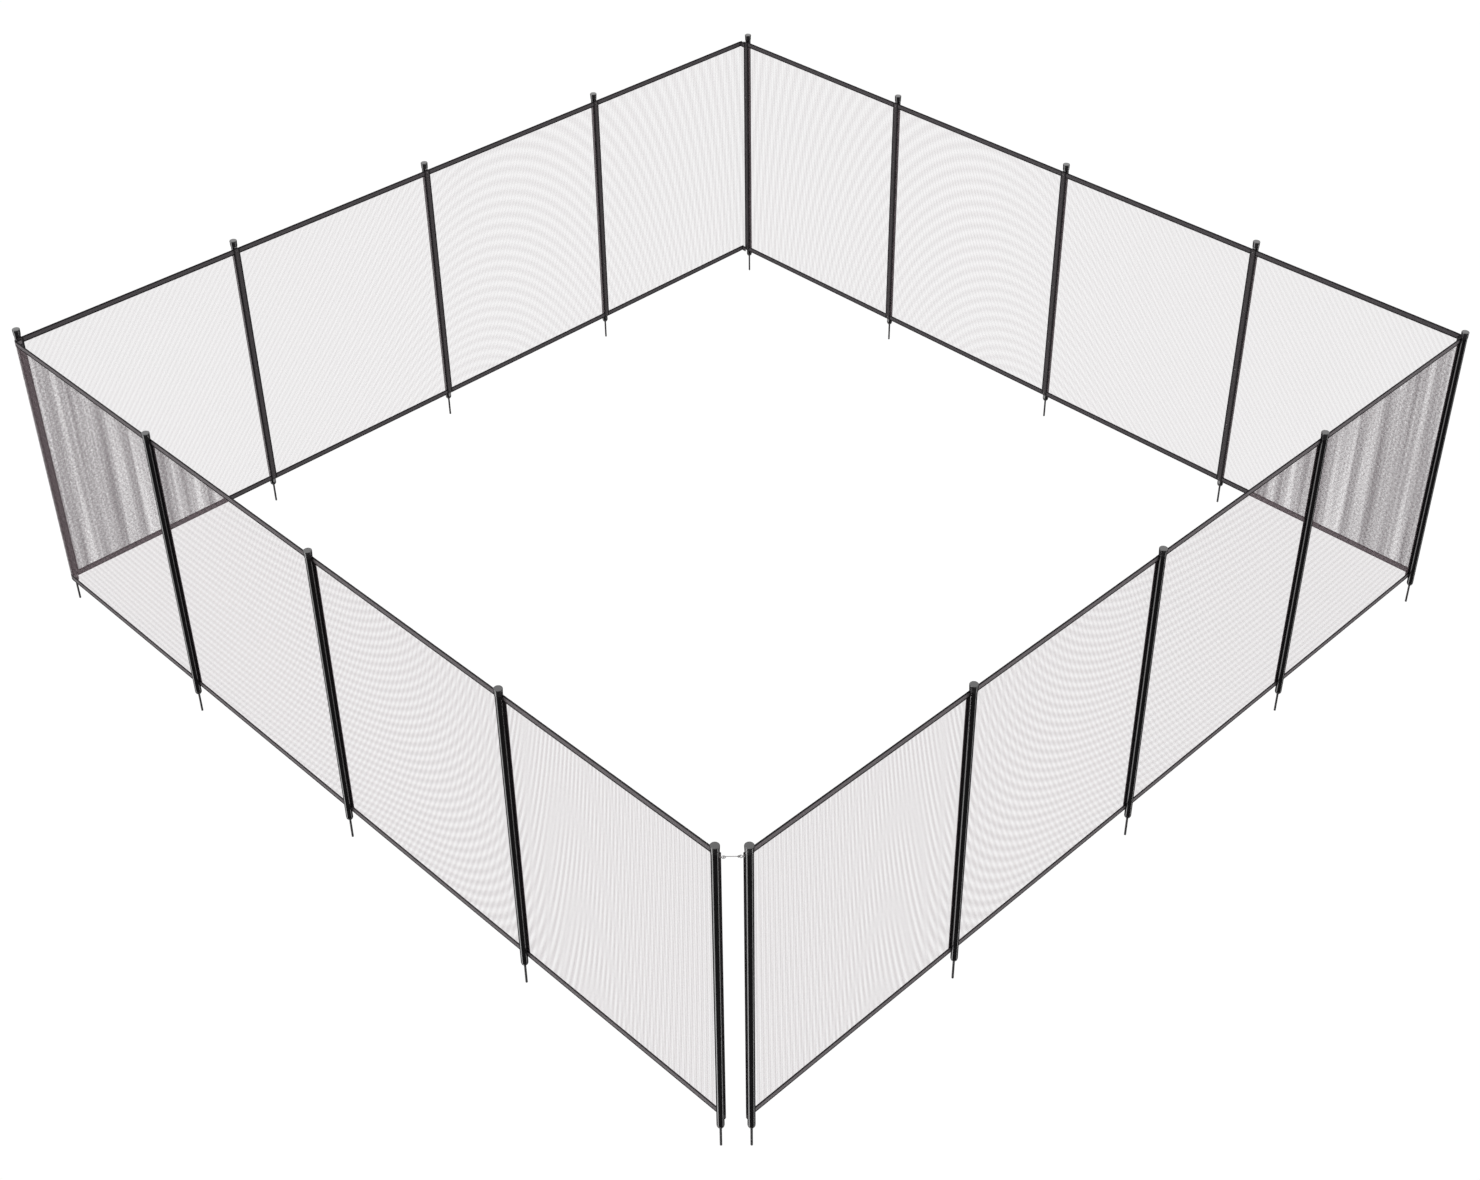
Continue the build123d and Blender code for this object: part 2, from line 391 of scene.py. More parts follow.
def shimmer_group():
    """Return the group for the watered lines that a fine weave shows from afar.

    The lines stand upright at one end of a side, and bend over into arcs and level lines along
    it. Finer cross lines lie over them, and streaks show where two panels overlap.
    """
    if "Shimmer" in bpy.data.node_groups:
        return bpy.data.node_groups["Shimmer"]
    group, entry, result = make_group(
        "Shimmer",
        (
            ("Place", "vector", None), ("Upright Lines", "value", 0.0),
            ("Turn", "value", 0.0), ("Turning Lines", "value", 0.0),
            ("Crowding", "value", 0.0), ("Level Lines", "value", 28.0),
            ("Level From", "value", 0.0), ("Level To", "value", 2.0),
            ("Cross Lines", "value", 48.0),
        ),
        (("Lines", "value"), ("Streaks", "value")),
    )
    turn_ease = 0.36
    crowding_fade = -1.3
    lean_share = 0.3
    wave_weight = 0.65
    cross_weight = 0.65
    cross_loss, cross_loss_run = -0.5, (1.8, 3.2)
    streak_stretch = (1.0, 0.015, 1.0)
    streak_edge = (0.32, 0.68)
    grain_gain, grain_base = 1.6, -0.8
    parts = group.nodes.new("ShaderNodeSeparateXYZ")
    group.links.new(entry.outputs["Place"], parts.inputs[0])
    run, rise = parts.outputs[0], parts.outputs[1]
    upright = math(group, "MULTIPLY", run, entry.outputs["Upright Lines"])
    past_turn = math(group, "SUBTRACT", run, entry.outputs["Turn"])
    eased = math(group, "MULTIPLY_ADD", past_turn, past_turn, turn_ease)
    eased = math(group, "SQRT", eased)
    upright = math(group, "MULTIPLY_ADD", eased, entry.outputs["Turning Lines"], upright)
    decay = math(group, "EXPONENT", math(group, "MULTIPLY", run, crowding_fade))
    upright = math(group, "MULTIPLY_ADD", decay, entry.outputs["Crowding"], upright)
    spread = math(group, "SUBTRACT", entry.outputs["Level To"], entry.outputs["Level From"])
    share_along = math(group, "SUBTRACT", run, entry.outputs["Level From"])
    share_along = smooth_step(group, math(group, "DIVIDE", share_along, spread), 0.0, 1.0)
    level = math(group, "MULTIPLY", share_along, entry.outputs["Level Lines"])
    phase = math(group, "MULTIPLY_ADD", rise, level, upright)
    wave = math(group, "SINE", cycles(group, phase))
    lean = math(group, "MULTIPLY_ADD", rise, lean_share, 1.0)
    slant = math(group, "MULTIPLY", run, lean)
    cross = math(group, "MULTIPLY", slant, entry.outputs["Cross Lines"])
    cross = math(group, "SINE", cycles(group, cross))
    far_share = smooth_step(group, run, *cross_loss_run)
    weight = math(group, "MULTIPLY_ADD", far_share, cross_loss, cross_weight)
    lines = math(group, "MULTIPLY_ADD", cross, weight, math(group, "MULTIPLY", wave, wave_weight))
    group.links.new(lines, result.inputs["Lines"])
    stretch = group.nodes.new("ShaderNodeVectorMath")
    stretch.operation = "MULTIPLY"
    stretch.inputs[1].default_value = streak_stretch
    group.links.new(entry.outputs["Place"], stretch.inputs[0])
    noise = group.nodes.new("ShaderNodeTexNoise")
    noise.inputs["Scale"].default_value = 11.0
    noise.inputs["Detail"].default_value = 4.0
    noise.inputs["Roughness"].default_value = 0.72
    group.links.new(stretch.outputs[0], noise.inputs["Vector"])
    grain = group.nodes.new("ShaderNodeTexNoise")
    grain.inputs["Scale"].default_value = 130.0
    group.links.new(entry.outputs["Place"], grain.inputs["Vector"])
    streaks = smooth_step(group, noise.outputs["Fac"], *streak_edge)
    grains = math(group, "MULTIPLY_ADD", grain.outputs["Fac"], grain_gain, grain_base)
    group.links.new(math(group, "ADD", streaks, grains), result.inputs["Streaks"])
    return group


def twill_group():
    """Return the group for webbing: slanting ribs, dark edges, sewn lines and a height."""
    if "Twill" in bpy.data.node_groups:
        return bpy.data.node_groups["Twill"]
    group, entry, result = make_group(
        "Twill",
        (
            ("Place", "vector", None), ("Rib Pitch", "value", 0.0045),
            ("Stitch Pitch", "value", 0.006),
        ),
        (("Ribs", "value"), ("Edges", "value"), ("Stitches", "value"), ("Height", "value")),
    )
    dark_edge = (0.42, 0.70)
    stitch_line, stitch_width = 0.72, (0.02, 0.06)
    stitch_gap = (-0.5, -0.1)
    stitch_lift = 0.8
    parts = group.nodes.new("ShaderNodeSeparateXYZ")
    group.links.new(entry.outputs["Place"], parts.inputs[0])
    run, across, edge = parts.outputs
    slant = math(group, "DIVIDE", math(group, "ADD", run, across), entry.outputs["Rib Pitch"])
    ribs = math(group, "SINE", cycles(group, slant))
    ribs = math(group, "MULTIPLY_ADD", ribs, 0.5, 0.5)
    distance = math(group, "ABSOLUTE", edge)
    group.links.new(ribs, result.inputs["Ribs"])
    group.links.new(smooth_step(group, distance, *dark_edge), result.inputs["Edges"])
    stitch_phase = math(group, "DIVIDE", run, entry.outputs["Stitch Pitch"])
    stitch = math(group, "SINE", cycles(group, stitch_phase))
    off_line = math(group, "ABSOLUTE", math(group, "SUBTRACT", distance, stitch_line))
    near_line = math(group, "SUBTRACT", 1.0, smooth_step(group, off_line, *stitch_width))
    stitches = math(group, "MULTIPLY", smooth_step(group, stitch, *stitch_gap), near_line)
    group.links.new(stitches, result.inputs["Stitches"])
    height = math(group, "MULTIPLY_ADD", stitches, stitch_lift, ribs)
    group.links.new(height, result.inputs["Height"])
    return group


def grain_group():
    """Return the group for a sprayed or moulded skin: a fine height and a slow mottle."""
    if "Grain" in bpy.data.node_groups:
        return bpy.data.node_groups["Grain"]
    group, entry, result = make_group(
        "Grain",
        (("Place", "vector", None), ("Fineness", "value", 900.0), ("Mottle Scale", "value", 14.0)),
        (("Height", "value"), ("Mottle", "value")),
    )
    for scale, detail, output in (("Fineness", 3.0, "Height"), ("Mottle Scale", 4.0, "Mottle")):
        noise = group.nodes.new("ShaderNodeTexNoise")
        noise.inputs["Detail"].default_value = detail
        group.links.new(entry.outputs["Place"], noise.inputs["Vector"])
        group.links.new(entry.outputs[scale], noise.inputs["Scale"])
        group.links.new(noise.outputs["Fac"], result.inputs[output])
    return group


class Recipe:
    """A material under construction: its tree, its Principled shader and its group nodes."""

    def __init__(self, name):
        self.material = bpy.data.materials.new(name)
        self.material.use_nodes = True
        self.tree = self.material.node_tree
        self.shader = self.tree.nodes["Principled BSDF"]

    def set(self, **values):
        """Set constant values on the shader's own sockets."""
        for key, value in values.items():
            self.shader.inputs[key.replace("_", " ")].default_value = value

    def link(self, output, socket):
        """Feed one of the shader's sockets."""
        self.tree.links.new(output, self.shader.inputs[socket])

    def place(self, attribute=None):
        """Return the object's coordinates, or a vector attribute of the mesh."""
        if attribute:
            node = self.tree.nodes.new("ShaderNodeAttribute")
            node.attribute_name = attribute
            return node.outputs["Vector"]
        return self.tree.nodes.new("ShaderNodeTexCoord").outputs["Object"]

    def group(self, tree, place, **values):
        """Place a node group with its own values."""
        node = self.tree.nodes.new("ShaderNodeGroup")
        node.node_tree = tree
        self.tree.links.new(place, node.inputs["Place"])
        for key, value in values.items():
            node.inputs[key.replace("_", " ")].default_value = value
        return node

    def bump(self, height, strength, distance):
        """Feed the shader's normal from a height."""
        node = self.tree.nodes.new("ShaderNodeBump")
        node.inputs["Strength"].default_value = strength
        node.inputs["Distance"].default_value = distance
        self.tree.links.new(height, node.inputs["Height"])
        self.tree.links.new(node.outputs["Normal"], self.shader.inputs["Normal"])

    def roughen(self, mask, low, high):
        """Feed the roughness with a value that a mask moves between two limits."""
        self.link(math(self.tree, "MULTIPLY_ADD", mask, high - low, low), "Roughness")


# Materials

def mesh_material(name, settings, cover, **lines):
    """Open woven mesh: grey threads with clear holes, that hide more where two panels overlap.

    A ray passes the two faces of one panel, so what it meets at a greater depth is behind it;
    threads there take a darker colour, a painted shade.
    """
    cover_low, cover_swing = 0.8, 0.4
    one_panel = 1.5
    shimmer_loss = 0.6
    streak_low, streak_swing = 0.2, 1.6
    recipe = Recipe(name)
    tree = recipe.tree
    place = recipe.place("place")
    weave = recipe.group(weave_group(), place, Pitch=settings.thread_pitch)
    shimmer = recipe.group(shimmer_group(), place, **lines)
    threads = math(tree, "MULTIPLY_ADD", weave.outputs["Threads"], cover_swing, cover_low)
    depth = tree.nodes.new("ShaderNodeLightPath").outputs["Transparent Depth"]
    behind = math(tree, "GREATER_THAN", depth, one_panel)
    loss = -shimmer_loss * settings.shimmer
    swing = math(tree, "MULTIPLY_ADD", behind, loss, settings.shimmer)
    watered = math(tree, "MULTIPLY_ADD", shimmer.outputs["Lines"], swing, 1.0)
    threads = math(tree, "MULTIPLY", threads, watered)
    streaks = shimmer.outputs["Streaks"]
    streaked = math(tree, "MULTIPLY_ADD", streaks, streak_swing, streak_low)
    doubled = math(tree, "MULTIPLY", streaked, settings.overlap_cover)
    level = math(tree, "MULTIPLY_ADD", behind, math(tree, "SUBTRACT", doubled, cover), cover)
    recipe.link(math(tree, "MULTIPLY", threads, level, clamp=True), "Alpha")
    # Threads behind another panel take the shaded colour, a painted shade
    seen = mix_colour(tree, behind, settings.thread_colour, settings.shaded_colour)
    recipe.link(seen, "Base Color")
    recipe.set(Roughness=0.55, Specular_IOR_Level=0.2)
    recipe.bump(weave.outputs["Height"], strength=0.4, distance=0.0002)
    return recipe.material


def webbing_material(name, settings, face_colour):
    """Woven webbing: slanting ribs on a grey face, with dark folded edges and stitches."""
    valley_shade = 0.62
    thread_black = (0.020, 0.018, 0.019)
    recipe = Recipe(name)
    place = recipe.place("place")
    twill = recipe.group(
        twill_group(), place, Rib_Pitch=settings.rib_pitch, Stitch_Pitch=settings.stitch_pitch
    )
    valley = [valley_shade * channel for channel in face_colour]
    face = mix_colour(recipe.tree, twill.outputs["Ribs"], valley, face_colour)
    edged = mix_colour(recipe.tree, twill.outputs["Edges"], face, settings.edge_colour)
    sewn = mix_colour(recipe.tree, twill.outputs["Stitches"], edged, thread_black)
    recipe.link(sewn, "Base Color")
    recipe.set(Specular_IOR_Level=0.15)
    recipe.roughen(twill.outputs["Ribs"], low=0.72, high=0.6)
    recipe.bump(twill.outputs["Height"], strength=0.6, distance=0.0004)
    return recipe.material


def skin_material(name, base, roughness, bump, fineness, lift, metallic=0.0, coat=0.0):
    """A sprayed, moulded or bright skin: mottled colour and gloss over a fine grain."""
    mottle_edge = (0.35, 0.75)
    rougher = 1.35
    recipe = Recipe(name)
    grain = recipe.group(grain_group(), recipe.place(), Fineness=fineness)
    mottle = smooth_step(recipe.tree, grain.outputs["Mottle"], *mottle_edge)
    worn = [min(1.0, lift * channel) for channel in base]
    recipe.link(mix_colour(recipe.tree, mottle, base, worn), "Base Color")
    recipe.roughen(mottle, roughness, min(1.0, roughness * rougher))
    recipe.set(Metallic=metallic, Coat_Weight=coat, Coat_Roughness=0.05)
    recipe.bump(grain.outputs["Height"], strength=bump, distance=0.0002)
    return recipe.material


def floor_material(settings):
    """Plain pale floor, lit as evenly as the background."""
    recipe = Recipe("Pale floor")
    recipe.set(Base_Color=(0.0, 0.0, 0.0, 1.0), Roughness=1.0, Specular_IOR_Level=0.0)
    recipe.set(Emission_Color=(*settings.floor_colour, 1.0), Emission_Strength=1.02)
    return recipe.material


# Pieces

def lines_start(name, along):
    """Return the end of a side where its watered lines stand upright, and which way they go."""
    boxes = [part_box(f"{name}_mesh_{count + 1}") for count in range(BAYS)]
    ends = [corner.dot(along) for box in boxes for corner in box]
    if name in ("left_front", "right_back"):
        return min(ends), 1
    return max(ends), -1


def path_points(run, radius, half):
    """Return plan points along a run and its bend, each with its distance from the start."""
    centre = run.near + half
    corner = run.last - half
    straight_end = corner - radius if run.bends else run.last
    straight = straight_end - run.first
    points = []
    for count in range(PANEL_STEPS + 1):
        distance = straight * count / PANEL_STEPS
        points.append((run.first + distance, centre, distance))
    if run.bends:
        turn_length = radius * pi / 2
        for count in range(1, BEND_STEPS + 1):
            turn = Euler((0, 0, -pi / 2 * count / BEND_STEPS)).to_matrix()
            arm = turn @ Vector((0, radius, 0))
            distance = straight + turn_length * count / BEND_STEPS
            points.append((straight_end + arm.x, centre + radius - arm.y, distance))
        points.append((corner, run.far, straight + turn_length + run.far - centre - radius))
    return points


def store_places(mesh, places):
    """Store a place for each vertex, which the materials' patterns follow."""
    attribute = mesh.attributes.new("place", "FLOAT_VECTOR", "POINT")
    for value, place in zip(attribute.data, places):
        value.vector = place


def make_panel(node, along, bends, settings, lines_run, lines_way):
    """Make one woven panel as a thin closed sheet that bows a little between its posts."""
    run = Run(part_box(node), along, bends)
    points = path_points(run, settings.corner_radius, MESH_HALF)
    full_height = run.high_height - run.low_height
    middle = (run.low_height + run.high_height) / 2
    span = points[PANEL_STEPS][2]
    verts, places = [], []
    for along_run, depth, distance in points:
        swell = max(0.0, 4 * distance / span * (1 - distance / span))
        for row in range(PANEL_ROWS + 1):
            share_up = row / PANEL_ROWS
            height = run.low_height + full_height * share_up
            bow = settings.bow * swell * 4 * share_up * (1 - share_up)
            verts.append(run.point(along_run, depth + bow, height))
            places.append((lines_way * (run.first + distance - lines_run), height - middle, 0.0))
    faces = []
    for column in range(len(points) - 1):
        for row in range(PANEL_ROWS):
            start = column * (PANEL_ROWS + 1) + row
            after = start + PANEL_ROWS + 1
            faces.append((start, after, after + 1, start + 1))
    mesh = bpy.data.meshes.new(node + "_weave")
    mesh.from_pydata(verts, [], faces)
    store_places(mesh, places)
    panel = bpy.data.objects.new(node + "_weave", mesh)
    bpy.context.scene.collection.objects.link(panel)
    apply_modifier(panel, "SOLIDIFY", thickness=settings.thickness, offset=0.0)
    smooth(panel)
    return panel, (points[-1][2], full_height)


def upright_grid(along, centre, size, height, columns, rows):
    """Add a grid that stands on edge, its width along the given way."""
    turn = Matrix((along, UP, inward(along))).transposed().to_euler()
    bpy.ops.object.select_all(action="DESELECT")
    bpy.ops.mesh.primitive_grid_add(
        x_subdivisions=columns, y_subdivisions=rows, size=1, location=centre, rotation=turn
    )
    grid = bpy.context.object
    grid.scale = (size, height, 1)
    apply_place(grid)
    return grid


def finish_strap(strap, thickness, on_groove, settings):
    """Thicken a strap's grid, press its sewn lines in and round its edges."""
    most_share, folded_edge = 0.3, 50.0  # most rounding in thicknesses, least turn in degrees
    apply_modifier(strap, "SOLIDIFY", thickness=thickness, offset=0.0)
    bpy.ops.object.mode_set(mode="EDIT")
    select_vertices(strap, on_groove)
    bpy.ops.transform.shrink_fatten(value=-settings.groove)
    bpy.ops.object.mode_set(mode="OBJECT")
    apply_modifier(
        strap, "BEVEL", width=min(settings.edge_radius, most_share * thickness), segments=2,
        limit_method="ANGLE", angle_limit=radians(folded_edge),
    )


def make_ribbon(name, run, thickness, radius, settings, steps=160, rows=6):
    """Make a strap on edge: a grid spun round any bend, thickened, grooved and rounded."""
    half = thickness / 2
    corner = run.last - half
    straight_end = corner - radius if run.bends else run.last
    height = run.high_height - run.low_height
    middle = run.low_height + height / 2
    centre = run.point((run.first + straight_end) / 2, run.near + half, middle)
    strap = upright_grid(run.along, centre, straight_end - run.first, height, steps, rows)
    if run.bends:
        bpy.ops.object.mode_set(mode="EDIT")
        end_line = straight_end - SLACK
        select_vertices(strap, lambda place: place.dot(run.along) > end_line)
        pivot = run.point(straight_end, run.near + half + radius, 0)
        bpy.ops.mesh.spin(steps=BEND_STEPS, angle=radians(90), center=pivot, axis=-UP)
        leg = run.across * (run.far - run.near - half - radius)
        bpy.ops.mesh.extrude_region_move(TRANSFORM_OT_translate={"value": leg})
        bpy.ops.object.mode_set(mode="OBJECT")
    places = []
    for vertex in strap.data.vertices:
        across = vertex.co.z - middle
        distance = vertex.co.dot(run.along) + vertex.co.dot(run.across)
        places.append((distance, across, 2 * across / height))
    store_places(strap.data, places)
    row = height / rows
    lines = (run.low_height + row, run.high_height - row)
    finish_strap(
        strap, thickness,
        lambda place: any(abs(place.z - line) < row / 4 for line in lines), settings,
    )
    strap.name = name
    strap.data.name = name
    smooth(strap)
    return strap


def make_upright_strap(box, settings, rows=34, columns=6):
    """Make one strap that stands on end over a post, thickened, grooved and rounded."""
    low, high = box
    size = high - low
    flat_axis = 0 if size.x < size.y else 1
    wide_axis = 1 - flat_axis
    middle = (low + high) / 2
    width = min(settings.strap_width, size[wide_axis])
    wide = Vector((0, 0, 0))
    wide[wide_axis] = 1
    strap = upright_grid(wide, middle, width, size.z, columns, rows)
    places = []
    for vertex in strap.data.vertices:
        across = vertex.co[wide_axis] - middle[wide_axis]
        places.append((vertex.co.z, across, 2 * across / width))
    store_places(strap.data, places)
    column = width / columns
    reach = width / 2 - column
    lines = (middle[wide_axis] - reach, middle[wide_axis] + reach)
    finish_strap(
        strap, size[flat_axis],
        lambda place: any(abs(place[wide_axis] - line) < column / 4 for line in lines), settings,
    )
    return strap


def make_screw(settings):
    """Make one rounded screw head with a sunken middle, standing on the XY plane."""
    top_share, round_share, rim_share, wall_share, sink_share = 0.9, 0.55, 0.22, 0.12, 0.35
    bpy.ops.object.select_all(action="DESELECT")
    radius = settings.screw_diameter / 2
    height = settings.screw_height
    bpy.ops.mesh.primitive_cylinder_add(
        vertices=20, radius=radius, depth=height, location=(0, 0, height / 2)
    )
    screw = bpy.context.object
    apply_place(screw)
    bpy.ops.object.mode_set(mode="EDIT")
    select_vertices(screw, lambda place: place.z > height * top_share)
    bpy.ops.mesh.bevel(offset=height * round_share, segments=3, affect="EDGES")
    select_vertices(screw, lambda place: place.z > height * top_share)
    bpy.ops.mesh.inset(thickness=radius * rim_share)
    bpy.ops.mesh.inset(thickness=radius * wall_share)
    bpy.ops.transform.translate(value=(0, 0, -height * sink_share))
    bpy.ops.object.mode_set(mode="OBJECT")
    return screw


class FENCE_OT_mesh_panels(bpy.types.Operator):
    """Weave a panel for each bay"""

    bl_idname = "fence.mesh_panels"
    bl_label = "Mesh Panels"

    def execute(self, context):
        settings = context.scene.fence_mesh
        front = mesh_material(
            "Front mesh", settings, settings.front_cover, Upright_Lines=-3.0, Crowding=-90.0,
            Level_From=0.1, Level_To=1.8,
        )
        back = mesh_material(
            "Back mesh", settings, settings.back_cover, Upright_Lines=6.0, Turning_Lines=30.0,
            Turn=1.85, Level_From=-0.6, Level_To=3.0,
        )
        for name, along, bends in SIDES:
            lines_run, lines_way = lines_start(name, along)
            for count in range(BAYS):
                node = f"{name}_mesh_{count + 1}"
                turns = bends and count == BAYS - 1
                panel, flat = make_panel(node, along, turns, settings, lines_run, lines_way)
                dress(panel, front if name.endswith("front") else back, "mesh", node)
        return {"FINISHED"}


class FENCE_OT_hems(bpy.types.Operator):
    """Fold webbing over the top and bottom edges of each side"""

    bl_idname = "fence.hems"
    bl_label = "Hems"

    def execute(self, context):
        settings = context.scene.fence_webbing
        radius = context.scene.fence_mesh.corner_radius
        front = webbing_material("Front hem webbing", settings, settings.front_colour)
        # The back sides' hems take the darker copy of the webbing, a painted shade
        back = webbing_material("Back hem webbing in painted shade", settings, settings.back_painted_shade_colour)
        low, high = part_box("right_front_top_hem")
        thickness = high.y - low.y
        for name, along, bends in SIDES:
            for edge in ("top_hem", "bottom_hem"):
                node = f"{name}_{edge}"
                run = Run(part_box(node), along, bends)
                hem = make_ribbon(node + "_webbing", run, thickness, radius, settings)
                dress(hem, front if name.endswith("front") else back, "webbing", node)
        return {"FINISHED"}


class FENCE_OT_straps(bpy.types.Operator):
    """Lay a strap of webbing on each face of the mesh at every post"""

    bl_idname = "fence.straps"
    bl_label = "Straps"

    def execute(self, context):
        settings = context.scene.fence_webbing
        material = webbing_material("Strip webbing", settings, settings.strip_colour)
        for node in ("outer_bands", "inner_strips"):
            straps = [make_upright_strap(box, settings) for box in loose_boxes(node)]
            piece = join(node + "_webbing", straps)
            smooth(piece)
            dress(piece, material, "webbing", node)
        return {"FINISHED"}


class FENCE_OT_screws(bpy.types.Operator):
    """Drive a row of screws through each inner strip"""

    bl_idname = "fence.screws"
    bl_label = "Screws"

    def execute(self, context):
        settings = context.scene.fence_hardware
        margin = 0.012
        yard = (frame_box[0] + frame_box[1]) / 2
        model = make_screw(settings)
        screws = []
        for low, high in loose_boxes("inner_strips"):
            size = high - low
            flat_axis = 0 if size.x < size.y else 1
            face = Vector((0, 0, 0))
            face[flat_axis] = 1 if yard[flat_axis] > low[flat_axis] else -1
            middle = (low + high) / 2
            middle[flat_axis] = (high if face[flat_axis] > 0 else low)[flat_axis]
            turn = face.to_track_quat("Z", "Y")
            for count in range(settings.screws_per_strip):
                share_up = count / (settings.screws_per_strip - 1)
                height = low.z + margin + (size.z - 2 * margin) * share_up
                place = Vector((middle.x, middle.y, height))
                copy = bpy.data.objects.new("screw", model.data.copy())
                bpy.context.scene.collection.objects.link(copy)
                copy.matrix_world = Matrix.Translation(place) @ turn.to_matrix().to_4x4()
                screws.append(copy)
        bpy.data.objects.remove(model)
        piece = join("strip_screws", screws)
        apply_place(piece)
        smooth(piece)
        material = skin_material(
            "Screw steel", settings.screw_colour, roughness=0.4, bump=0.1, fineness=2500.0,
            lift=1.4, metallic=0.8,
        )
        dress(piece, material, "latch")
        return {"FINISHED"}


class FENCE_OT_hardware(bpy.types.Operator):
    """Finish the posts, caps, feet, pins and latch"""

    bl_idname = "fence.hardware"
    bl_label = "Posts and Latch"

    def execute(self, context):
        settings = context.scene.fence_hardware
        gloss = skin_material(
            "Gloss coat", settings.post_colour, roughness=0.14, bump=0.05, fineness=700.0,
            lift=1.5, coat=0.3,
        )
        cap = skin_material(
            "Moulded cap", settings.cap_colour, roughness=0.26, bump=0.12, fineness=1400.0,
            lift=1.7, coat=0.6,
        )
        foot = skin_material(
            "Moulded foot", settings.cap_colour, roughness=0.35, bump=0.2, fineness=1400.0,
            lift=1.5,
        )
        pin = skin_material(
            "Coated pin", settings.pin_colour, roughness=0.42, bump=0.15, fineness=1800.0,
            lift=1.8,
        )
        steel = skin_material(
            "Steel wire", settings.steel_colour, roughness=0.3, bump=0.08, fineness=3000.0,
            lift=0.75, metallic=1.0,
        )
        finishes = {node: gloss for node in POST_NODES}
        finishes.update({"post_caps": cap, "foot_plugs": foot, "ground_pins": pin})
        for node in ("left_latch_eye", "right_latch_eye", "latch_hook"):
            finishes[node] = steel
        for node, material in finishes.items():
            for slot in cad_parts[node].material_slots:
                slot.material = material
        return {"FINISHED"}


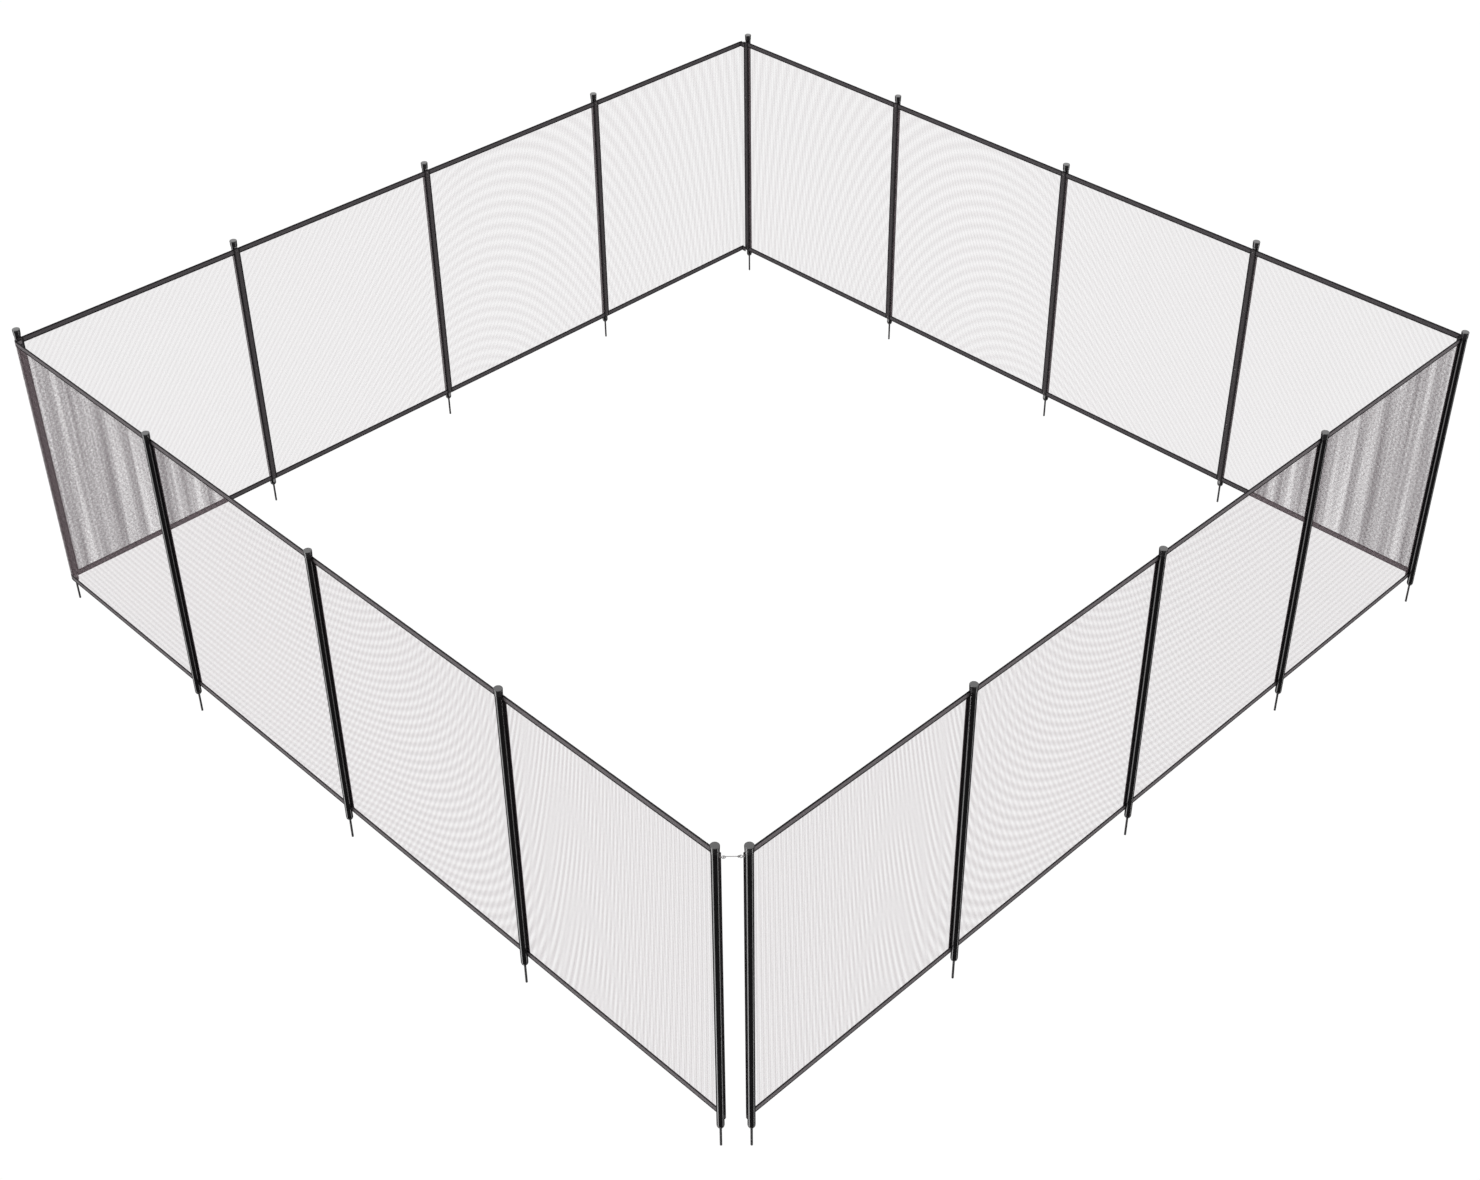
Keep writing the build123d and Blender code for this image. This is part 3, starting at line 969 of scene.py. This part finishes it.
class FENCE_OT_stage(bpy.types.Operator):
    """Set the pale floor, the soft light and the camera"""

    bl_idname = "fence.stage"
    bl_label = "Stage"

    def execute(self, context):
        settings = context.scene.fence_stage
        bpy.ops.object.select_all(action="DESELECT")
        centre = (frame_box[0] + frame_box[1]) / 2
        bpy.ops.mesh.primitive_grid_add(
            x_subdivisions=8, y_subdivisions=8, size=settings.floor_size,
            location=(centre.x, centre.y, frame_box[0].z),
        )
        floor = bpy.context.object
        floor.name = "floor"
        apply_place(floor)
        floor.data.materials.append(floor_material(settings))
        floor.visible_glossy = False
        self.light_world(context, settings)
        self.place_camera(context, settings)
        context.scene.view_settings.view_transform = "Standard"
        return {"FINISHED"}

    def light_world(self, context, settings):
        """Surround the fence with soft white, with tall soft boxes that gloss alone picks up."""
        # Heading and half width in degrees, and strength
        soft_boxes = ((151.5, 15.0, 3.6), (-57.0, 5.5, 3.2))
        sky_rise, sky_gain, dark_base = (0.0, 0.5), 1.7, 0.06
        edge_inside, edge_outside = 0.8, 1.2
        world = bpy.data.worlds.new("Studio")
        world.use_nodes = True
        tree = world.node_tree
        context.scene.world = world
        direction = tree.nodes.new("ShaderNodeTexCoord").outputs["Generated"]
        parts = tree.nodes.new("ShaderNodeSeparateXYZ")
        tree.links.new(direction, parts.inputs[0])
        heading = math(tree, "ARCTAN2", parts.outputs[1], parts.outputs[0])
        sky = smooth_step(tree, parts.outputs[2], *sky_rise)
        gloss = math(tree, "MULTIPLY_ADD", sky, sky_gain, dark_base)
        for box_heading, half_width, strength in soft_boxes:
            off = math(tree, "SUBTRACT", heading, radians(box_heading))
            off = math(tree, "ABSOLUTE", math(tree, "WRAP", off, -pi, pi))
            inner, outer = radians(half_width * edge_inside), radians(half_width * edge_outside)
            mask = math(tree, "SUBTRACT", 1.0, smooth_step(tree, off, inner, outer))
            gloss = math(tree, "MULTIPLY_ADD", mask, strength, gloss)
        path = tree.nodes.new("ShaderNodeLightPath")
        choice = tree.nodes.new("ShaderNodeMix")
        choice.data_type = "FLOAT"
        choice.inputs[2].default_value = settings.light_strength
        tree.links.new(path.outputs["Is Glossy Ray"], choice.inputs[0])
        tree.links.new(gloss, choice.inputs[3])
        background = tree.nodes["Background"]
        background.inputs["Color"].default_value = (1, 1, 1, 1)
        tree.links.new(choice.outputs[0], background.inputs["Strength"])

    def place_camera(self, context, settings):
        """Stand the camera where the fence shows as a square seen over its gate corner."""
        data = bpy.data.cameras.new("camera")
        data.lens = settings.camera_lens
        data.sensor_width = 36.0
        data.shift_x, data.shift_y = settings.shift_right, settings.shift_up
        data.clip_end = 200.0
        camera = bpy.data.objects.new("camera", data)
        context.scene.collection.objects.link(camera)
        camera.location = settings.camera_place
        heading = Matrix.Rotation(-settings.camera_heading, 4, "Z")
        tilt = Matrix.Rotation(pi / 2 - settings.camera_tilt, 4, "X")
        roll = Matrix.Rotation(settings.camera_roll, 4, "Z")
        camera.rotation_euler = (heading @ tilt @ roll).to_euler()
        context.scene.camera = camera


class FENCE_PT_panel(bpy.types.Panel):
    """The fence's pieces and sizes in the sidebar"""

    bl_idname = "FENCE_PT_panel"
    bl_label = "Mesh Pool Fence"
    bl_space_type = "VIEW_3D"
    bl_region_type = "UI"
    bl_category = "Fence"

    def draw(self, context):
        for group in SETTINGS:
            settings = getattr(context.scene, group)
            box = self.layout.box()
            for key in settings.__annotations__:
                box.prop(settings, key)
        for operator in OPERATORS:
            self.layout.operator(operator.bl_idname)


SETTINGS = {
    "fence_mesh": FenceMeshSettings,
    "fence_webbing": FenceWebbingSettings,
    "fence_hardware": FenceHardwareSettings,
    "fence_stage": FenceStageSettings,
}
OPERATORS = (
    FENCE_OT_mesh_panels, FENCE_OT_hems, FENCE_OT_straps, FENCE_OT_screws, FENCE_OT_hardware,
    FENCE_OT_stage,
)


def register():
    """Add the settings, the operators and the panel."""
    for group, kind in SETTINGS.items():
        bpy.utils.register_class(kind)
        setattr(bpy.types.Scene, group, PointerProperty(type=kind))
    for operator in OPERATORS:
        bpy.utils.register_class(operator)
    bpy.utils.register_class(FENCE_PT_panel)


def unregister():
    """Take away the panel, the operators and the settings."""
    bpy.utils.unregister_class(FENCE_PT_panel)
    for operator in OPERATORS:
        bpy.utils.unregister_class(operator)
    for group, kind in SETTINGS.items():
        delattr(bpy.types.Scene, group)
        bpy.utils.unregister_class(kind)


def main():
    """Make the fence's pieces in order."""
    register()
    bpy.ops.fence.mesh_panels()
    bpy.ops.fence.hems()
    bpy.ops.fence.straps()
    bpy.ops.fence.screws()
    bpy.ops.fence.hardware()
    bpy.ops.fence.stage()


if __name__ == "__main__":
    main()
